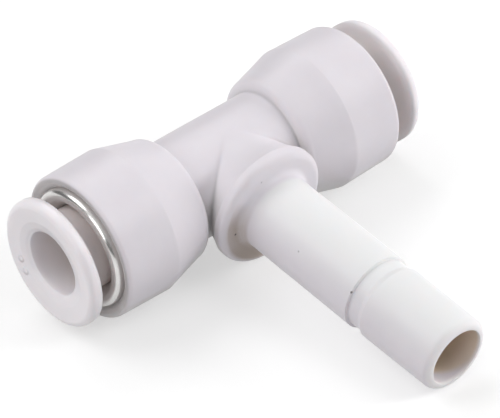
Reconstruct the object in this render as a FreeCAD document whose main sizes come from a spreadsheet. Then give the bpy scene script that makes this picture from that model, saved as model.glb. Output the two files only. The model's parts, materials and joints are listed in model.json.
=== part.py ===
import FreeCAD, Part
import Sketcher
import math
import os

# Push-in branch tee, in millimetres: two ports for 1/4 inch tube on the run, a plug-in stem for 8 mm
# (5/16 inch) ports on the branch.
# The tee is drawn level in its own frame: the two ports lie along X and the stem points along -Y.
# One common placement then tips it about X until both heads and the stem's tip rest on Z = 0.

os.makedirs("parts", exist_ok=True)
doc = FreeCAD.newDocument("PushInTee")

# Driving dimensions, each with its own name
sizes = [
    # tube and stem
    ("tube_radius", 3.175),
    ("stem_radius", 4.0),
    ("stem_wall", 1.0),
    # socket in each head, along the run from the tee's middle
    ("tube_stop", 5.2),
    ("tube_stop_ledge", 0.275),
    ("tube_clearance", 0.1),
    ("socket_floor", 9.2),
    # lip seal
    ("seal_length", 2.0),
    ("seal_squeeze", 0.15),
    ("seal_lip_round", 0.1),
    ("seal_heel_clearance", 0.5),
    ("seal_groove_depth", 1.1),
    # ring that seats the claws
    ("claw_seat_length", 2.0),
    ("claw_seat_clearance", 0.3),
    ("claw_seat_throat", 0.4),
    ("claw_seat_land", 0.4),
    # claw ring of spring sheet
    ("claw_sheet", 0.25),
    ("claw_bite", 0.06),
    ("claw_reach", 1.3),
    ("claw_rim", 0.8),
    ("claw_slot_past", 0.15),
    ("claw_slot_width", 0.5),
    ("claw_count", 12),
    # guide ring of plated metal
    ("guide_wall", 0.675),
    ("guide_land", 1.53),
    ("guide_lip_step", 0.25),
    ("guide_lip", 0.64),
    ("guide_funnel_angle", 40),
    # release ring
    ("ring_tube_clearance", 0.2),
    ("ring_wall", 0.85),
    ("ring_guide_clearance", 0.07),
    ("ring_travel", 1.5),
    ("ring_end_gap", 0.05),
    ("ring_stop_gap", 0.1),
    ("bead_height", 0.5),
    ("bead_length", 0.7),
    ("bead_clearance", 0.6),
    ("nose_length", 1.3),
    ("nose_ramp_length", 0.7),
    ("nose_wall", 0.55),
    ("flange_standoff", 1.02),
    ("flange_thickness", 1.2),
    ("flange_overhang", 0.67),
    ("flange_round", 0.65),
    ("flange_rim_back", 0.35),
    ("flange_dish", 0.33),
    ("lead_in_depth", 0.25),
    ("lead_in_width", 0.42),
    ("ring_slot_width", 0.9),
    ("ring_slot_length", 3.0),
    ("ring_slot_past", 0.2),
    ("ring_slot_count", 4),
    # heads and barrel of the moulded body
    ("mouth_setback", 0.25),
    ("mouth_wall", 1.57),
    ("mouth_round", 0.5),
    ("mouth_flat", 0.08),
    ("mouth_dish", 0.55),
    ("mouth_dish_round", 2.0),
    ("guide_seat_depth", 0.3),
    ("head_flare", 0.13),
    ("head_edge", 11.55),
    ("shoulder_face", 6.4),
    ("shoulder_drop", 1.15),
    ("shoulder_round", 0.8),
    ("barrel_wall", 2.125),
    # branch, collar and plug-in stem, along the branch from the run's axis
    ("branch_shift", 0.4),
    ("branch_inset", 0.05),
    ("flare_start", 2.0),
    ("flare_length", 4.4),
    ("collar_step", 2.4),
    ("collar_land", 0.5),
    ("collar_round", 0.7),
    ("stem_cove", 0.7),
    ("stem_length", 25.65),
    ("groove_from_collar", 14.7),
    ("groove_width", 1.4),
    ("groove_depth", 0.3),
    ("groove_step", 0.06),
    ("groove_ramp", 0.6),
    ("stem_end_step", 0.03),
    ("stem_end_taper", 0.07),
    ("tip_round", 0.8),
]

# Dimensions that follow from the driving ones
followers = [
    ("zero", "0"),
    ("flow_radius", "tube_radius - tube_stop_ledge"),
    ("tube_socket_radius", "tube_radius + tube_clearance"),
    ("ring_bore", "tube_radius + ring_tube_clearance"),
    ("ring_neck", "ring_bore + ring_wall"),
    ("bead_radius", "ring_neck + bead_height"),
    ("guide_bore", "ring_neck + ring_guide_clearance"),
    ("guide_chamber", "bead_radius + bead_clearance"),
    ("socket_radius", "guide_chamber + guide_wall"),
    ("seal_end", "socket_floor + seal_length"),
    ("seal_lip_radius", "tube_radius - seal_squeeze"),
    ("seal_lip_start", "socket_floor + seal_lip_round"),
    ("seal_lip_flat", "seal_lip_start + 3 * seal_lip_round"),
    ("seal_lip_outer", "seal_lip_radius + seal_lip_round"),
    ("seal_heel_radius", "tube_radius + seal_heel_clearance"),
    ("seal_groove_end", "socket_floor + seal_groove_depth"),
    ("seal_groove_radius", "(tube_radius + socket_radius) / 2"),
    ("seal_groove_mouth_inner", "seal_groove_radius - (seal_groove_radius - seal_lip_radius) * 0.45"),
    ("seal_groove_mouth_outer", "seal_groove_radius + (socket_radius - seal_groove_radius) * 0.5"),
    ("claw_seat_end", "seal_end + claw_seat_length"),
    ("claw_seat_bore", "tube_radius + claw_seat_clearance"),
    ("claw_seat_throat_end", "seal_end + claw_seat_throat"),
    ("claw_seat_mouth", "socket_radius - claw_seat_land"),
    ("claw_top", "claw_seat_end + claw_sheet"),
    ("claw_tip", "claw_seat_end - claw_reach"),
    ("claw_tip_radius", "tube_radius - claw_bite"),
    ("claw_edge", "claw_tip + claw_sheet * 0.7"),
    ("claw_tip_back", "claw_tip_radius + claw_sheet * 0.7"),
    ("claw_root_radius", "socket_radius - claw_rim"),
    ("claw_root_top", "claw_root_radius - claw_sheet * 0.44"),
    ("claw_rim_radius", "claw_root_radius + claw_slot_past"),
    ("claw_slot_start", "claw_tip - claw_sheet"),
    ("claw_slot_span", "claw_top - claw_tip + 2 * claw_sheet"),
    ("guide_room", "ring_stop_gap + ring_travel + bead_length + ring_end_gap"),
    ("guide_shoulder", "claw_top + guide_room"),
    ("guide_lip_start", "guide_shoulder + guide_land"),
    ("guide_lip_outer", "socket_radius + guide_lip_step"),
    ("guide_lip_middle", "guide_lip_outer - guide_lip"),
    ("guide_funnel_end", "guide_lip_start + guide_lip * sin(guide_funnel_angle)"),
    ("guide_funnel_mouth", "guide_lip_middle - guide_lip * cos(guide_funnel_angle)"),
    ("guide_funnel_start", "guide_funnel_end - (guide_funnel_mouth - guide_bore) / tan(guide_funnel_angle)"),
    ("guide_lip_end", "guide_lip_start + guide_lip"),
    ("mouth_face", "guide_lip_start + mouth_setback"),
    ("mouth_radius", "socket_radius + mouth_wall"),
    ("mouth_round_start", "mouth_face - mouth_round"),
    ("mouth_round_end", "mouth_radius - mouth_round"),
    ("mouth_dish_rim", "mouth_round_end - mouth_flat"),
    ("mouth_dish_floor", "mouth_face - mouth_dish"),
    ("guide_seat", "mouth_dish_floor - guide_seat_depth"),
    ("cut_past", "mouth_face + mouth_round"),
    ("head_radius", "mouth_radius + head_flare"),
    ("shoulder_radius", "head_radius - shoulder_drop"),
    ("shoulder_round_end", "shoulder_face + shoulder_round"),
    ("shoulder_round_start", "shoulder_radius - shoulder_round"),
    ("barrel_radius", "tube_socket_radius + barrel_wall"),
    ("bead_end", "guide_shoulder - ring_end_gap"),
    ("bead_start", "bead_end - bead_length"),
    ("nose_tip", "bead_start - nose_length"),
    ("nose_ramp", "bead_start - nose_ramp_length"),
    ("nose_radius", "ring_bore + nose_wall"),
    ("flange_back", "mouth_face + ring_travel + flange_standoff"),
    ("flange_face", "flange_back + flange_thickness"),
    ("flange_radius", "socket_radius + flange_overhang"),
    ("flange_round_start", "flange_face - flange_round"),
    ("flange_round_end", "flange_radius - flange_round"),
    ("flange_cove_end", "flange_radius - flange_rim_back"),
    ("flange_cove", "flange_cove_end - ring_neck"),
    ("flange_cove_start", "flange_back - flange_cove"),
    ("lead_in_face", "flange_face - flange_dish"),
    ("lead_in_start", "lead_in_face - lead_in_depth"),
    ("lead_in_end", "ring_bore + lead_in_width"),
    ("ring_slot_start", "nose_tip - ring_slot_past"),
    ("ring_slot_span", "ring_slot_length + ring_slot_past"),
    ("stem_bore_radius", "stem_radius - stem_wall"),
    ("flare_end", "flare_start + flare_length"),
    ("collar_radius", "stem_radius + collar_step"),
    ("branch_radius", "barrel_radius - branch_inset"),
    ("flare_rise", "collar_radius - branch_radius"),
    ("flare_bend", "(flare_length ^ 2 + flare_rise ^ 2) / (2 * flare_rise)"),
    ("collar_round_start", "flare_end + collar_land"),
    ("collar_face", "collar_round_start + collar_round"),
    ("collar_round_end", "collar_radius - collar_round"),
    ("stem_cove_radius", "stem_radius + stem_cove"),
    ("stem_cove_end", "collar_face + stem_cove"),
    ("groove_start", "collar_face + groove_from_collar"),
    ("groove_radius", "stem_radius - groove_depth"),
    ("groove_step_end", "groove_start + groove_step"),
    ("groove_floor_end", "groove_start + groove_width"),
    ("groove_end", "groove_floor_end + groove_ramp"),
    ("stem_tip", "collar_face + stem_length"),
    ("cut_past_stem", "stem_tip + tip_round"),
    ("end_radius", "stem_radius - stem_end_step"),
    ("end_tip_radius", "end_radius - stem_end_taper"),
    ("tip_round_start", "stem_tip - tip_round"),
    ("tip_round_end", "end_tip_radius - tip_round"),
    ("rest_tilt", "asin((head_radius - tip_round) / sqrt(tip_round_start ^ 2 + tip_round_end ^ 2))"
                  " - atan(tip_round_end / tip_round_start)"),
    ("rest_reach", "tip_round_start * cos(rest_tilt) + tip_round_end * sin(rest_tilt) + tip_round"),
    ("rest_shift", "(rest_reach - head_radius) / 2"),
]

sheet = doc.addObject("Spreadsheet::Sheet", "Dimensions")
row = 0
for name, value in sizes:
    row = row + 1
    sheet.set("A%d" % row, name)
    sheet.set("B%d" % row, str(value))
    sheet.setAlias("B%d" % row, name)
for name, formula in followers:
    row = row + 1
    sheet.set("A%d" % row, name)
    sheet.set("B%d" % row, "=" + formula)
    sheet.setAlias("B%d" % row, name)
doc.recompute()


def size(name):
    value = sheet.get(name)
    return float(getattr(value, "Value", value))


def origin_feature(body, role):
    for feature in body.Origin.OriginFeatures:
        if feature.Role == role:
            return feature


def new_body(label):
    body = doc.addObject("PartDesign::Body", label)
    body.Label = label
    body.Placement = FreeCAD.Placement(
        FreeCAD.Vector(0, size("rest_shift"), size("head_radius")),
        FreeCAD.Rotation(FreeCAD.Vector(1, 0, 0), size("rest_tilt")))
    body.setExpression("Placement.Base.y", "Dimensions.rest_shift")
    body.setExpression("Placement.Base.z", "Dimensions.head_radius")
    body.setExpression("Placement.Rotation.Angle", "Dimensions.rest_tilt")
    return body


def lock(sketch, kind, line, end, name):
    index = sketch.addConstraint(Sketcher.Constraint(kind, -1, 1, line, end, size(name)))
    sketch.setExpression("Constraints[%d]" % index, "Dimensions." + name)


def profile(body, name, outline, turn, shift=None):
    # outline: corners as (along, radius), followed by "hollow" or "round" and a radius where an
    # arc leads on to the next corner. turn points the sketch's first axis along the revolved axis.
    sketch = body.newObject("Sketcher::SketchObject", name)
    sketch.AttachmentSupport = [(origin_feature(body, "XY_Plane"), "")]
    sketch.MapMode = "FlatFace"
    start = FreeCAD.Vector(size(shift) if shift else 0, 0, 0)
    sketch.AttachmentOffset = FreeCAD.Placement(start, FreeCAD.Rotation(FreeCAD.Vector(0, 0, 1), turn))
    if shift:
        sketch.setExpression("AttachmentOffset.Base.x", "Dimensions." + shift)
    count = len(outline)
    ends = []
    for i in range(count):
        corner = outline[i]
        following = outline[(i + 1) % count]
        a = FreeCAD.Vector(size(corner[0]), size(corner[1]), 0)
        b = FreeCAD.Vector(size(following[0]), size(following[1]), 0)
        if len(corner) == 2:
            line = sketch.addGeometry(Part.LineSegment(a, b), False)
            ends.append((line, 1, 2))
            continue
        radius = size(corner[3])
        half = (b - a).Length / 2
        middle = (a + b) / 2
        across = FreeCAD.Vector(-(b - a).y, (b - a).x, 0) / (2 * half)
        rise = math.sqrt(max(radius ** 2 - half ** 2, 0))
        # the profile runs anticlockwise, so a rounding's centre lies on its left
        left = corner[2] == "round"
        centre = middle + across * (rise if left else -rise)
        angle_a = math.atan2(a.y - centre.y, a.x - centre.x)
        angle_b = math.atan2(b.y - centre.y, b.x - centre.x)
        circle = Part.Circle(centre, FreeCAD.Vector(0, 0, 1), radius)
        if left:
            arc = sketch.addGeometry(Part.ArcOfCircle(circle, angle_a, angle_b), False)
            ends.append((arc, 1, 2))
        else:
            arc = sketch.addGeometry(Part.ArcOfCircle(circle, angle_b, angle_a), False)
            ends.append((arc, 2, 1))
        index = sketch.addConstraint(Sketcher.Constraint("Radius", arc, radius))
        sketch.setExpression("Constraints[%d]" % index, "Dimensions." + corner[3])
    for i in range(count):
        piece, first, last = ends[i]
        before = ends[i - 1]
        sketch.addConstraint(Sketcher.Constraint("Coincident", before[0], before[2], piece, first))
        lock(sketch, "DistanceX", piece, first, outline[i][0])
        lock(sketch, "DistanceY", piece, first, outline[i][1])
    return sketch


def revolve(body, kind, name, outline, turn, shift=None):
    sketch = profile(body, name + "Profile", outline, turn, shift)
    feature = body.newObject("PartDesign::" + kind, name)
    feature.Profile = (sketch, [""])
    feature.ReferenceAxis = (sketch, ["H_Axis"])
    feature.Angle = 360
    sketch.Visibility = False
    body.Tip = feature
    doc.recompute()
    return feature


def slots(body, name, start, span, width, outer, count, turn):
    # radial slots: one box-shaped cut above the axis, repeated round X
    cut = body.newObject("PartDesign::SubtractiveBox", name)
    cut.Length = size(span)
    cut.Width = size(width)
    cut.Height = size(outer)
    cut.setExpression("Length", "Dimensions." + span)
    cut.setExpression("Width", "Dimensions." + width)
    cut.setExpression("Height", "Dimensions." + outer)
    cut.AttachmentSupport = [(origin_feature(body, "XY_Plane"), "")]
    cut.MapMode = "FlatFace"
    side = -1 if turn else 1
    base = side * size(start) - (size(span) if turn else 0)
    cut.AttachmentOffset = FreeCAD.Placement(
        FreeCAD.Vector(base, -size(width) / 2, 0), FreeCAD.Rotation())
    if turn:
        cut.setExpression("AttachmentOffset.Base.x", "-Dimensions.%s - Dimensions.%s" % (start, span))
    else:
        cut.setExpression("AttachmentOffset.Base.x", "Dimensions." + start)
    cut.setExpression("AttachmentOffset.Base.y", "-Dimensions.%s / 2" % width)
    body.Tip = cut
    doc.recompute()
    pattern = body.newObject("PartDesign::PolarPattern", name + "Pattern")
    pattern.Originals = [cut]
    pattern.Axis = (origin_feature(body, "X_Axis"), [""])
    pattern.Angle = 360
    pattern.Occurrences = int(size(count))
    pattern.setExpression("Occurrences", "Dimensions." + count)
    body.Tip = pattern
    doc.recompute()
    return pattern


# Moulded body: two heads on one barrel, the flared branch with its collar, and the plug-in stem
half_run = [
    ("zero", "zero"),
    ("mouth_face", "zero"),
    ("mouth_face", "mouth_round_end", "round", "mouth_round"),
    ("mouth_round_start", "mouth_radius"),
    ("head_edge", "head_radius"),
    ("shoulder_round_end", "shoulder_radius", "round", "shoulder_round"),
    ("shoulder_face", "shoulder_round_start"),
    ("shoulder_face", "barrel_radius"),
    ("zero", "barrel_radius"),
]
branch = [
    ("zero", "zero"),
    ("stem_tip", "zero"),
    ("stem_tip", "tip_round_end", "round", "tip_round"),
    ("tip_round_start", "end_tip_radius"),
    ("groove_end", "end_radius"),
    ("groove_floor_end", "groove_radius"),
    ("groove_step_end", "groove_radius"),
    ("groove_start", "stem_radius"),
    ("stem_cove_end", "stem_radius", "hollow", "stem_cove"),
    ("collar_face", "stem_cove_radius"),
    ("collar_face", "collar_round_end", "round", "collar_round"),
    ("collar_round_start", "collar_radius"),
    ("flare_end", "collar_radius", "hollow", "flare_bend"),
    ("flare_start", "branch_radius"),
    ("zero", "branch_radius"),
]
socket = [
    ("zero", "zero"),
    ("cut_past", "zero"),
    ("cut_past", "mouth_dish_rim"),
    ("mouth_face", "mouth_dish_rim", "hollow", "mouth_dish_round"),
    ("mouth_dish_floor", "guide_lip_outer"),
    ("guide_seat", "guide_lip_outer"),
    ("guide_seat", "socket_radius"),
    ("socket_floor", "socket_radius"),
    ("socket_floor", "tube_socket_radius"),
    ("tube_stop", "tube_socket_radius"),
    ("tube_stop", "flow_radius"),
    ("zero", "flow_radius"),
]
stem_bore = [
    ("zero", "zero"),
    ("cut_past_stem", "zero"),
    ("cut_past_stem", "stem_bore_radius"),
    ("zero", "stem_bore_radius"),
]
tee = new_body("body")
revolve(tee, "Revolution", "RunRight", half_run, 0)
revolve(tee, "Revolution", "RunLeft", half_run, 180)
revolve(tee, "Revolution", "Branch", branch, -90, "branch_shift")
solid_volume = tee.Shape.Volume
revolve(tee, "Groove", "SocketRight", socket, 0)
revolve(tee, "Groove", "SocketLeft", socket, 180)
revolve(tee, "Groove", "StemBore", stem_bore, -90, "branch_shift")
if tee.Shape.Volume > 0.8 * solid_volume:
    raise RuntimeError("the sockets and bores did not cut the body")

# Release ring: dished flange outside, neck in the guide ring, snap bead and slotted nose inside
release = [
    ("nose_tip", "ring_bore"),
    ("lead_in_start", "ring_bore"),
    ("lead_in_face", "lead_in_end"),
    ("flange_face", "flange_round_end", "round", "flange_round"),
    ("flange_round_start", "flange_radius"),
    ("flange_back", "flange_radius"),
    ("flange_back", "flange_cove_end", "hollow", "flange_cove"),
    ("flange_cove_start", "ring_neck"),
    ("bead_end", "ring_neck"),
    ("bead_end", "bead_radius"),
    ("bead_start", "bead_radius"),
    ("nose_ramp", "nose_radius"),
    ("nose_tip", "nose_radius"),
]
# Guide ring: plated metal, seated in the mouth by its round lip, with a funnel down to the land that
# guides the release ring's neck and a chamber for its bead
guide = [
    ("claw_top", "guide_chamber"),
    ("guide_shoulder", "guide_chamber"),
    ("guide_shoulder", "guide_bore"),
    ("guide_funnel_start", "guide_bore"),
    ("guide_funnel_end", "guide_funnel_mouth", "round", "guide_lip"),
    ("guide_lip_end", "guide_lip_middle", "round", "guide_lip"),
    ("guide_lip_start", "guide_lip_outer"),
    ("guide_seat", "guide_lip_outer"),
    ("guide_seat", "socket_radius"),
    ("claw_top", "socket_radius"),
]
# Claw ring: flat rim clamped under the guide ring, cone of fingers that bite the tube
claws = [
    ("claw_edge", "claw_tip_radius"),
    ("claw_top", "claw_root_top"),
    ("claw_top", "socket_radius"),
    ("claw_seat_end", "socket_radius"),
    ("claw_seat_end", "claw_root_radius"),
    ("claw_tip", "claw_tip_back"),
]
# Ring that seats the claws and backs the seal
claw_seat = [
    ("seal_end", "claw_seat_bore"),
    ("claw_seat_throat_end", "claw_seat_bore"),
    ("claw_seat_end", "claw_seat_mouth"),
    ("claw_seat_end", "socket_radius"),
    ("seal_end", "socket_radius"),
]
# Lip seal, open towards the pressure side
seal = [
    ("seal_lip_start", "seal_lip_outer"),
    ("seal_lip_flat", "seal_lip_radius"),
    ("seal_end", "seal_heel_radius"),
    ("seal_end", "socket_radius"),
    ("socket_floor", "socket_radius"),
    ("socket_floor", "seal_groove_mouth_outer"),
    ("seal_groove_end", "seal_groove_radius"),
    ("seal_lip_start", "seal_groove_mouth_inner"),
]

nodes = [tee]
for side, turn in (("right", 0), ("left", 180)):
    ring_body = new_body("release_ring_" + side)
    revolve(ring_body, "Revolution", "Ring", release, turn)
    slots(ring_body, "SnapSlot", "ring_slot_start", "ring_slot_span", "ring_slot_width",
          "bead_radius", "ring_slot_count", turn)
    guide_body = new_body("guide_ring_" + side)
    revolve(guide_body, "Revolution", "Guide", guide, turn)
    claw_body = new_body("claw_ring_" + side)
    revolve(claw_body, "Revolution", "Claws", claws, turn)
    slots(claw_body, "ClawSlot", "claw_slot_start", "claw_slot_span", "claw_slot_width",
          "claw_rim_radius", "claw_count", turn)
    seat_body = new_body("claw_seat_" + side)
    revolve(seat_body, "Revolution", "Seat", claw_seat, turn)
    seal_body = new_body("seal_" + side)
    revolve(seal_body, "Revolution", "Seal", seal, turn)
    nodes.extend([ring_body, guide_body, claw_body, seat_body, seal_body])

doc.recompute()
for item in doc.Objects:
    if "Invalid" in item.State or "Error" in item.State:
        raise RuntimeError("%s failed: %s" % (item.Label, item.State))
for node in nodes:
    if node.Shape.isNull() or not node.Shape.isValid() or len(node.Shape.Solids) != 1:
        raise RuntimeError("%s is not one valid solid" % node.Label)
for node in nodes:
    node.Shape.exportStep("parts/%s.step" % node.Label)
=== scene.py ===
import json
import math

import bpy
from mathutils import Matrix, Vector


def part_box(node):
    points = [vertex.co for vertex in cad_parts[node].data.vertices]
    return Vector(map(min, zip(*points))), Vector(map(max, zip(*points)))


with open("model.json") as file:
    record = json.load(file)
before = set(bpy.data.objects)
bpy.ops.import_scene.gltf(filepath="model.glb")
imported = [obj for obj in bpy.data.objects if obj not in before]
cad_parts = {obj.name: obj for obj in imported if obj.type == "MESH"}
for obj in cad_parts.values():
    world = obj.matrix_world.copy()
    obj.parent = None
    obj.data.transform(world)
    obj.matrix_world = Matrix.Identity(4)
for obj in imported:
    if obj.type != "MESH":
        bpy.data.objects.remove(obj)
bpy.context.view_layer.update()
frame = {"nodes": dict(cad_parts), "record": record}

# Lengths are in millimetres unless a comment says otherwise, and times MM they are the scene's metres
MM = 0.001

# Level frame of the fitting: origin on the run's axis, here in metres, run along X, stem along -Y
mounts = {mount["name"]: mount for mount in frame["record"]["mounts"]}
RUN_AXIS = (0, *mounts["port_left"]["pos_m"][1:])
TILT = math.asin(-mounts["stem"]["axis"][2])
LEVEL = Matrix.Translation(RUN_AXIS) @ Matrix.Rotation(TILT, 4, "X")

# Sizes of the fitting in its level frame
BRANCH_X = mounts["stem"]["pos_m"][0] / MM
STEM_RADIUS = mounts["stem"]["dims"]["r_mm"]
STEM_BORE = mounts["stem_passage"]["dims"]["r_mm"]
STEM_TIP = mounts["stem_passage"]["dims"]["length_mm"]
RING_BORE = mounts["port_left"]["dims"]["r_mm"]
MOUTH_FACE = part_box("body")[1][0] / MM
ring_low, ring_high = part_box("release_ring_right")
FLANGE_FACE = ring_high[0] / MM
FLANGE_RADIUS = (ring_high[2] - ring_low[2]) / 2 / MM
MOUTH_RADIUS = 7.57
SHOULDER_END = 7.2
FLARE_END = 6.4
COLLAR_FACE = 7.6
COLLAR_RADIUS = 6.4


# Camera of the photograph, placed in the level frame
CAMERA_AZIMUTH = math.radians(-43.558)
CAMERA_ELEVATION = math.radians(43.667)
CAMERA_ROLL = math.radians(-2.970)
CAMERA_DISTANCE = 311.972
CAMERA_ASIDE = -3.175
CAMERA_DOWN = -3.916
CLIP_START = 10.0
SENSOR_WIDTH = 36
FOCAL_PIXELS = 3185.63
PHOTO_PIXELS = 500


def place_camera():
    back = Vector((math.sin(CAMERA_AZIMUTH) * math.cos(CAMERA_ELEVATION),
                   -math.cos(CAMERA_AZIMUTH) * math.cos(CAMERA_ELEVATION),
                   math.sin(CAMERA_ELEVATION)))
    ahead = -back
    right = ahead.cross(Vector((0, 0, 1))).normalized()
    down = ahead.cross(right)
    across = math.cos(CAMERA_ROLL) * right + math.sin(CAMERA_ROLL) * down
    below = math.cos(CAMERA_ROLL) * down - math.sin(CAMERA_ROLL) * right
    centre = (back * CAMERA_DISTANCE - across * CAMERA_ASIDE - below * CAMERA_DOWN) * MM
    turn = Matrix((across, -below, back)).transposed().to_4x4()
    data = bpy.data.cameras.new("camera")
    data.sensor_width = SENSOR_WIDTH
    data.lens = FOCAL_PIXELS * SENSOR_WIDTH / PHOTO_PIXELS
    data.clip_start = CLIP_START * MM
    camera = bpy.data.objects.new("camera", data)
    camera.matrix_world = LEVEL @ Matrix.Translation(centre) @ turn
    bpy.context.collection.objects.link(camera)
    bpy.context.scene.camera = camera


# Where one shade gives way to the next in the level frame: where the change begins, then where it is done
PAST_COLLAR = (-COLLAR_FACE - 0.5, -COLLAR_FACE - 1.1)
LIT_TOP_OF_STEM = (-0.3 * STEM_RADIUS, 0.7 * STEM_RADIUS)
UNDER_STEM = (1.0, -2.0)
AT_MOUTH = (MOUTH_FACE - 0.25, MOUTH_FACE - 0.05)
IN_MOUTH = (MOUTH_RADIUS - 0.10, MOUTH_RADIUS - 0.35)
AT_TIP = (0.45 - STEM_TIP, 0.15 - STEM_TIP)
ON_STEM = (1.0 - COLLAR_FACE, 0.4 - COLLAR_FACE)
AT_ROOT = (-COLLAR_FACE - 1.0, -COLLAR_FACE - 0.3)
ON_COLLAR_FACE = (COLLAR_RADIUS - 0.25, COLLAR_RADIUS - 0.75)
IN_STEM_BORE = (STEM_BORE + 0.2, STEM_BORE + 0.1)
BETWEEN_SHOULDERS = (SHOULDER_END + 0.2, SHOULDER_END)
BEHIND_COLLAR = (0.4 - FLARE_END, 0.8 - FLARE_END)
BEHIND_FLANGE = (0.95 * FLANGE_RADIUS, 0.72 * FLANGE_RADIUS)
IN_RING_BORE = (1.15 * RING_BORE, 1.05 * RING_BORE)
ON_LEAD_IN = (1.06 * RING_BORE, 1.34 * RING_BORE)

# The same, as depths from the stem's tip and from the flange's face
PAST_TIP = (0.05, 0.45)
PAST_LIT_FLOOR = (1.1, 1.8)
LIT_RING_BORE = (4.2, 0.6)
PAST_RING_EDGE = (0.6, 0.9)

# Colours as linear red, green and blue, in pairs where a cloudy noise goes from one to the other
WHITE = (1, 1, 1)
BLACK = (0, 0, 0)
BODY_LILAC = ((0.745, 0.708, 0.752), (0.765, 0.730, 0.772))
# Painted shade in the tee's recesses
BODY_PAINTED_SHADE = (0.66, 0.64, 0.64)
# Painted shade in the mouths' dishes around the guide rings
MOUTH_PAINTED_SHADE = (0.47, 0.45, 0.46)
# Painted light on the stem's lit top
STEM_PAINTED_LIGHT = (0.830, 0.830, 0.836)
# Painted light on the stem's tip
TIP_PAINTED_LIGHT = (0.89, 0.865, 0.88)
# Painted shadow of the stem on the collar's face
ROOT_PAINTED_SHADOW = (0.47, 0.395, 0.345)
# Painted shade inside the stem's bore
BORE_PAINTED_SHADE = (0.745, 0.615, 0.47)
RING_WHITE = ((0.888, 0.848, 0.882), (0.903, 0.864, 0.898))
# Painted shade behind the release rings' flanges and in their bores
RING_PAINTED_SHADE = (0.80, 0.73, 0.705)
SEAT_WHITE = ((0.62, 0.61, 0.61), (0.66, 0.65, 0.65))
# Painted shade in the claw seats' hidden places
SEAT_PAINTED_SHADE = (0.50, 0.48, 0.47)
NICKEL = ((0.69, 0.68, 0.665), (0.75, 0.745, 0.735))
# Painted shade on the nickel where it is hidden
NICKEL_PAINTED_SHADE = (0.58, 0.55, 0.54)
STEEL = ((0.50, 0.50, 0.51), (0.64, 0.64, 0.65))
RUBBER = ((0.022, 0.022, 0.024), (0.045, 0.045, 0.047))
DIRT = (0.05, 0.045, 0.045)

# Specks of dirt as place, radius and darkness, and raised dots as place and radius
BODY_SPECKS = [((-4.32, -COLLAR_FACE, -0.57), 0.16, 1.0),
               ((-1.24, -COLLAR_FACE, 4.47), 0.14, 0.35),
               ((-3.05, -15.05, 2.02), 0.14, 0.40),
               ((-2.94, -22.31, 2.11), 0.18, 0.85)]
RING_DOTS = [((-FLANGE_FACE, 4.3, -2.4), 0.45),
             ((-FLANGE_FACE, 3.6, -3.5), 0.45)]
SPECK_CORE = 0.35
DOT_CORE = 0.55
DOT_HEIGHT = 0.17
LEAD_IN_HEIGHT = 0.22

# Rounding that shading gives to edges
EDGE_ROUND = 0.14
BRANCH_ROUND = 0.9
ROOT_ROUND = 0.5
RING_EDGE_ROUND = 0.25
RING_BORE_ROUND = 1.0
SEAT_ROUND = 0.1

# Noises as waves to the metre and octaves of detail, with the height, spread or stretch of some
BODY_CLOUD = (260, 4)
RING_CLOUD = (300, 4)
SEAT_CLOUD = (300, 4)
MOULD_SHEEN = (900, 5)
MOULD_SHEEN_SPREAD = 0.04
ORANGE_PEEL = (190, 2)
ORANGE_PEEL_HEIGHT = 0.020
MOULD_GRAIN = (5200, 3)
MOULD_GRAIN_HEIGHT = 0.0012
PLATE_CLOUD = (700, 3)
PLATE_SHEEN = (2500, 4)
TURNING = (14000, 2)
TURNING_STRETCH = (1.0, 0.03, 0.03)
TURNING_HEIGHT = 0.0003
ROLLING = (9000, 3)
ROLLING_STRETCH = (0.1, 1.0, 0.1)
ROLLING_HEIGHT = 0.001
RUBBER_BLOOM = (1200, 5)
RUBBER_GRAIN = (6000, 4)
RUBBER_GRAIN_HEIGHT = 0.003

# Part of a noise's values that a colour or the roughness follows
SHEEN_VALUES = (0.3, 0.7)
CLOUD_VALUES = (0.35, 0.65)
BLOOM_VALUES = (0.45, 0.75)

# Directions of the level frame: to the lit side of the stem, and in along the lit side of its bore
LIT_SIDE = (0.5, 0.0, 0.87)
LIT_FLOOR = (0.5, 1.0, 0.0)

# Search for hidden places: its reach, and the open share at which shade begins and at which it is full
RECESS = (10.0, 0.72, 0.22)
ROOT = (5.0, 1.0, 0.70)
PLATED_INSIDE = (2.5, 0.80, 0.45)
SEARCH_RAYS = 8


# Node materials
class Nodes:
    """Short forms for adding and joining the nodes of one tree."""
    def __init__(self, tree):
        self.tree = tree

    def feed(self, socket, value):
        if isinstance(value, bpy.types.NodeSocket):
            self.tree.links.new(value, socket)
        elif socket.type == "RGBA":
            socket.default_value = (*value, 1.0)
        else:
            socket.default_value = value

    def add(self, kind, inputs=None, **settings):
        node = self.tree.nodes.new(kind)
        for key, value in settings.items():
            setattr(node, key, value)
        for key, value in (inputs or {}).items():
            self.feed(node.inputs[key], value)
        return node

    def math(self, operation, *values):
        return self.add("ShaderNodeMath", dict(enumerate(values)), operation=operation).outputs[0]

    def product(self, first, *others):
        for factor in others:
            first = self.math("MULTIPLY", first, factor)
        return first

    def vector(self, operation, *values):
        return self.add("ShaderNodeVectorMath", dict(enumerate(values)), operation=operation).outputs

    def ramp(self, value, begin, done, to_begin=0.0, to_done=1.0):
        return self.add("ShaderNodeMapRange", {"Value": value, "From Min": begin, "From Max": done,
                                               "To Min": to_begin, "To Max": to_done}).outputs["Result"]

    def blend(self, factor, a, b):
        """Number a where the factor is 0, b where it is 1."""
        return self.ramp(factor, 0.0, 1.0, a, b)

    def mix(self, factor, a, b):
        """Colour a where the factor is 0, b where it is 1."""
        node = self.add("ShaderNodeMix", {0: factor}, data_type="RGBA")
        self.feed(node.inputs[6], a)
        self.feed(node.inputs[7], b)
        return node.outputs[2]


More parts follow.
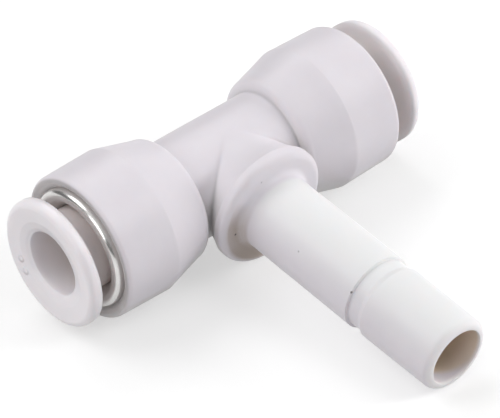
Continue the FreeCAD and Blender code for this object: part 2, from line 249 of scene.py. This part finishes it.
class Shader(Nodes):
    """A material with one Principled shader, with places measured in the level frame."""
    def __init__(self, name):
        self.material = bpy.data.materials.new(name)
        self.material.use_nodes = True
        super().__init__(self.material.node_tree)
        self.metres = self.add("ShaderNodeTexCoord").outputs["Object"]
        lying = {"Vector": self.metres, "Location": RUN_AXIS, "Rotation": (TILT, 0, 0), "Scale": (MM, MM, MM)}
        self.level = self.add("ShaderNodeMapping", lying, vector_type="TEXTURE").outputs["Vector"]
        self.x, self.y, _ = self.add("ShaderNodeSeparateXYZ", {0: self.level}).outputs

    def set(self, **values):
        bsdf = self.tree.nodes["Principled BSDF"]
        for key, value in values.items():
            self.feed(bsdf.inputs[key.replace("_", " ")], value)

    def noise(self, scale, detail, stretch=(1, 1, 1)):
        """Noise with scale waves to the metre along each direction, fewer where stretch is below 1."""
        place = self.vector("MULTIPLY", self.metres, stretch)["Vector"]
        inputs = {"Vector": place, "Scale": scale, "Detail": detail}
        return self.add("ShaderNodeTexNoise", inputs).outputs["Fac"]

    def along(self, direction):
        return self.vector("DOT_PRODUCT", self.level, direction)["Value"]

    def off_axis(self, across, point=(0, 0, 0)):
        """Distance from an axis through a point: across is 1 in the directions that count."""
        offset = self.vector("SUBTRACT", self.level, point)["Vector"]
        flat = self.vector("MULTIPLY", offset, across)["Vector"]
        return self.vector("LENGTH", flat)["Value"]

    def near(self, place, radius, core):
        """0 from the radius on, and 1 within the core, which is a share of the radius."""
        return self.ramp(self.vector("DISTANCE", self.level, place)["Value"], radius, core * radius)

    def hidden(self, reach, open_at, shut_at):
        """0 in the open to 1 deep in a bore or crevice, as far as what lies within reach hides the light."""
        inputs = {"Distance": reach * MM}
        light = self.add("ShaderNodeAmbientOcclusion", inputs, samples=SEARCH_RAYS).outputs["AO"]
        return self.ramp(light, open_at, shut_at)

    def rounded(self, radius):
        """Normals of a surface whose edges have this radius."""
        inputs = {"Radius": self.math("MULTIPLY", radius, MM)}
        return self.add("ShaderNodeBevel", inputs, samples=SEARCH_RAYS).outputs["Normal"]

    def bump(self, relief, height, normal=None):
        inputs = {"Height": relief, "Distance": height * MM}
        if normal:
            inputs["Normal"] = normal
        return self.add("ShaderNodeBump", inputs).outputs["Normal"]


def moulded(s, tone, recess, hidden, rounding, roughness, specks=(), dots=(), lead_in=None):
    """White moulded plastic: orange-peel skin, softened edges, painted shade in its recesses and specks of
    dirt.
    """
    # Painted shade where the hidden factor is high
    tone = s.mix(hidden, tone, recess)
    for place, radius, darkness in specks:
        tone = s.mix(s.product(s.near(place, radius, SPECK_CORE), darkness), tone, DIRT)
    normal = s.rounded(rounding)
    if lead_in:
        normal = s.bump(lead_in, LEAD_IN_HEIGHT, normal)
    for place, radius in dots:
        normal = s.bump(s.near(place, radius, DOT_CORE), DOT_HEIGHT, normal)
    normal = s.bump(s.noise(*ORANGE_PEEL), ORANGE_PEEL_HEIGHT, normal)
    normal = s.bump(s.noise(*MOULD_GRAIN), MOULD_GRAIN_HEIGHT, normal)
    rough = s.ramp(s.noise(*MOULD_SHEEN), *SHEEN_VALUES, roughness - MOULD_SHEEN_SPREAD,
                   roughness + MOULD_SHEEN_SPREAD)
    s.set(Base_Color=tone, Roughness=rough, Normal=normal, IOR=1.5, Subsurface_Weight=0.3,
          Subsurface_Scale=0.8 * MM, Subsurface_Radius=(1.0, 0.8, 0.7))
    return s.material


def body_tone(s, upward):
    """Faintly lilac on the tee, with painted light on the stem's lit top and at its tip, and painted shade in
    the mouths' dishes.
    """
    tone = s.mix(s.ramp(s.noise(*BODY_CLOUD), *CLOUD_VALUES), *BODY_LILAC)
    # Painted light: the stem's top, towards its lit side, is whiter
    painted_light_on_stem_top = s.product(s.ramp(s.y, *PAST_COLLAR), s.ramp(upward, *LIT_TOP_OF_STEM))
    tone = s.mix(painted_light_on_stem_top, tone, STEM_PAINTED_LIGHT)
    # Painted shade in the mouths' dishes
    at_mouth = s.ramp(s.math("ABSOLUTE", s.x), *AT_MOUTH)
    in_mouth = s.ramp(s.off_axis((0, 1, 1)), *IN_MOUTH)
    tone = s.mix(s.product(at_mouth, in_mouth), tone, MOUTH_PAINTED_SHADE)
    # Painted light at the stem's tip
    return s.mix(s.ramp(s.y, *AT_TIP), tone, TIP_PAINTED_LIGHT)


def body_plastic():
    """Painted shade: grey in the tee's recesses, a brown painted shadow on the collar's face under the stem's
    root, and brown inside the stem's bore.
    """
    s = Shader("body_white")
    upward = s.along(LIT_SIDE)
    off_stem = s.off_axis((1, 0, 1), (BRANCH_X, 0, 0))
    on_stem = s.ramp(s.y, *ON_STEM)
    at_root = s.product(on_stem, s.ramp(s.y, *AT_ROOT))
    # Painted shadow of the stem on the collar's face, on the side away from the light
    under_root = s.product(at_root, s.ramp(off_stem, *ON_COLLAR_FACE), s.ramp(upward, *UNDER_STEM))
    root_shade = s.product(under_root, s.hidden(*ROOT))
    # Painted shade deep in crevices and bores
    deep = s.hidden(*RECESS)
    # Painted shade inside the stem's bore, none near the tip or on the bore's lit floor
    in_bore = s.ramp(off_stem, *IN_STEM_BORE)
    depth = s.math("ADD", s.y, STEM_TIP)
    past_lit_floor = s.ramp(s.math("ADD", s.along(LIT_FLOOR), STEM_TIP), *PAST_LIT_FLOOR)
    past_tip = s.math("MINIMUM", s.ramp(depth, *PAST_TIP), past_lit_floor)
    stem_shade = s.math("MAXIMUM", root_shade, s.product(in_bore, past_tip, deep))
    recess = s.mix(on_stem, BODY_PAINTED_SHADE, s.mix(in_bore, ROOT_PAINTED_SHADOW, BORE_PAINTED_SHADE))
    between_shoulders = s.ramp(s.math("ABSOLUTE", s.x), *BETWEEN_SHOULDERS)
    on_branch = s.product(between_shoulders, s.ramp(s.y, *BEHIND_COLLAR))
    softer = s.math("MAXIMUM", s.product(on_branch, BRANCH_ROUND), s.product(at_root, ROOT_ROUND))
    rounding = s.math("MAXIMUM", softer, EDGE_ROUND)
    hidden = s.blend(on_stem, deep, stem_shade)
    return moulded(s, body_tone(s, upward), recess, hidden, rounding, roughness=0.42, specks=BODY_SPECKS)


def ring_plastic():
    """Whiter than the tee, with a rounded lead-in, two raised dots on the left flange's face, and painted
    shade behind the flange and in the bore.
    """
    s = Shader("ring_white")
    tone = s.mix(s.ramp(s.noise(*RING_CLOUD), *CLOUD_VALUES), *RING_WHITE)
    out = s.off_axis((0, 1, 1))
    depth = s.math("SUBTRACT", FLANGE_FACE, s.math("ABSOLUTE", s.x))
    # Painted shade behind the flange and deep in the bore, none on the bore's lit part near the face
    behind_flange = s.ramp(out, *BEHIND_FLANGE, 0.1, 1.0)
    lit = s.product(s.ramp(out, *IN_RING_BORE), s.ramp(depth, *LIT_RING_BORE))
    hidden = s.product(s.hidden(*RECESS), behind_flange, s.math("SUBTRACT", 1.0, lit))
    rounding = s.ramp(depth, *PAST_RING_EDGE, RING_EDGE_ROUND, RING_BORE_ROUND)
    lead_in = s.ramp(out, *ON_LEAD_IN)
    return moulded(s, tone, RING_PAINTED_SHADE, hidden, rounding, roughness=0.36, dots=RING_DOTS, lead_in=lead_in)


def seat_plastic():
    s = Shader("seat_white")
    tone = s.mix(s.noise(*SEAT_CLOUD), *SEAT_WHITE)
    # Painted shade in the seat's hidden places
    return moulded(s, tone, SEAT_PAINTED_SHADE, s.hidden(*RECESS), SEAT_ROUND, roughness=0.5)


def plated():
    """Bright nickel plate on a turned brass ring, with marks of turning round the run's axis, and painted
    shade: darker, duller and less metallic where it is hidden.
    """
    s = Shader("nickel")
    # Painted shade: hidden parts of the plate are darker, duller and less metallic
    inside = s.hidden(*PLATED_INSIDE)
    plate = s.mix(s.ramp(s.noise(*PLATE_CLOUD), *SHEEN_VALUES), *NICKEL)
    sheen = s.ramp(s.noise(*PLATE_SHEEN), *SHEEN_VALUES, 0.12, 0.18)
    s.set(Base_Color=s.mix(inside, plate, NICKEL_PAINTED_SHADE), Metallic=s.blend(inside, 1.0, 0.35),
          Roughness=s.math("ADD", sheen, s.blend(inside, 0.0, 0.4)),
          Normal=s.bump(s.noise(*TURNING, TURNING_STRETCH), TURNING_HEIGHT))
    return s.material


def sheet_steel():
    s = Shader("claw_steel")
    grain = s.noise(*ROLLING, ROLLING_STRETCH)
    s.set(Base_Color=s.mix(grain, *STEEL), Metallic=1.0,
          Roughness=s.ramp(grain, *SHEEN_VALUES, 0.26, 0.38), Normal=s.bump(grain, ROLLING_HEIGHT))
    return s.material


def rubber():
    s = Shader("seal_black")
    bloom = s.ramp(s.noise(*RUBBER_BLOOM), *BLOOM_VALUES)
    s.set(Base_Color=s.mix(bloom, *RUBBER), Roughness=s.blend(bloom, 0.55, 0.7),
          Normal=s.bump(s.noise(*RUBBER_GRAIN), RUBBER_GRAIN_HEIGHT))
    return s.material


def dress(node, material):
    mesh = frame["nodes"][node].data
    mesh.materials.clear()
    mesh.materials.append(material)


dress("body", body_plastic())
for piece, material in (("release_ring", ring_plastic()), ("guide_ring", plated()),
                        ("claw_ring", sheet_steel()), ("claw_seat", seat_plastic()), ("seal", rubber())):
    for side in ("left", "right"):
        dress(piece + "_" + side, material)


# Floor, lamps and world, with sizes and distances in metres
FLOOR_SIZE = 3.0
FLOOR_FADE = (0.07, 0.30)
FLOOR_LIT = (0.35, 0.35, 0.35)
FLOOR_SEEN = (0.62, 0.62, 0.62)
LAMP_DISTANCE = 0.6
CEILING = (0.30, 0.75)


def pale_stage():
    """A pale floor that shows nearly white to the camera and in reflections, and white far away."""
    bpy.ops.mesh.primitive_plane_add(size=FLOOR_SIZE, location=(0, 0, 0))
    floor = bpy.context.object
    floor.name = "floor"
    s = Shader("floor_white")
    path = s.add("ShaderNodeLightPath").outputs
    seen = s.math("MAXIMUM", path["Is Camera Ray"], path["Is Glossy Ray"])
    distance = s.vector("LENGTH", s.metres)["Value"]
    away = s.product(s.ramp(distance, *FLOOR_FADE), path["Is Camera Ray"])
    s.set(Base_Color=s.mix(away, s.mix(seen, FLOOR_LIT, FLOOR_SEEN), BLACK), Roughness=0.9,
          Specular_IOR_Level=0.1, Emission_Color=WHITE,
          Emission_Strength=s.blend(away, s.blend(seen, 0.18, 0.46), 1.0))
    floor.data.materials.append(s.material)


def softbox(name, azimuth, elevation, size, watts, mirrored=True):
    """A round lamp that looks at the origin; one that isn't mirrored lights without showing in gloss."""
    data = bpy.data.lights.new(name, "AREA")
    data.shape = "DISK"
    data.size = size
    data.energy = watts
    lamp = bpy.data.objects.new(name, data)
    turn = math.radians(azimuth)
    rise = math.radians(elevation)
    toward = Vector((math.cos(rise) * math.cos(turn), math.cos(rise) * math.sin(turn), math.sin(rise)))
    lamp.location = toward * LAMP_DISTANCE
    lamp.rotation_euler = toward.to_track_quat("Z", "Y").to_euler()
    lamp.visible_glossy = mirrored
    bpy.context.collection.objects.link(lamp)


def light_world(even, low, high):
    """Even white light: reflections see a dim room low down and a pale ceiling, and the camera sees white."""
    world = bpy.data.worlds.new("studio")
    world.use_nodes = True
    bpy.context.scene.world = world
    n = Nodes(world.node_tree)
    path = n.add("ShaderNodeLightPath").outputs
    way = n.add("ShaderNodeTexCoord").outputs["Generated"]
    height = n.add("ShaderNodeSeparateXYZ", {0: way}).outputs["Z"]
    lit = n.blend(path["Is Glossy Ray"], even, n.ramp(height, *CEILING, low, high))
    background = n.tree.nodes["Background"]
    n.feed(background.inputs["Color"], WHITE)
    n.feed(background.inputs["Strength"], n.blend(path["Is Camera Ray"], lit, 1.0))


pale_stage()
light_world(even=0.32, low=0.12, high=0.75)
softbox("key", azimuth=-38, elevation=21, size=0.16, watts=0.98, mirrored=False)
softbox("front", azimuth=-52, elevation=46, size=0.26, watts=0.54)
softbox("side", azimuth=-17, elevation=12, size=0.26, watts=1.28, mirrored=False)
softbox("back", azimuth=130, elevation=50, size=0.42, watts=1.05)
softbox("rear", azimuth=70, elevation=50, size=0.30, watts=0.55)
softbox("left", azimuth=-168, elevation=28, size=0.40, watts=0.92)
place_camera()
bpy.context.scene.view_settings.view_transform = "Standard"
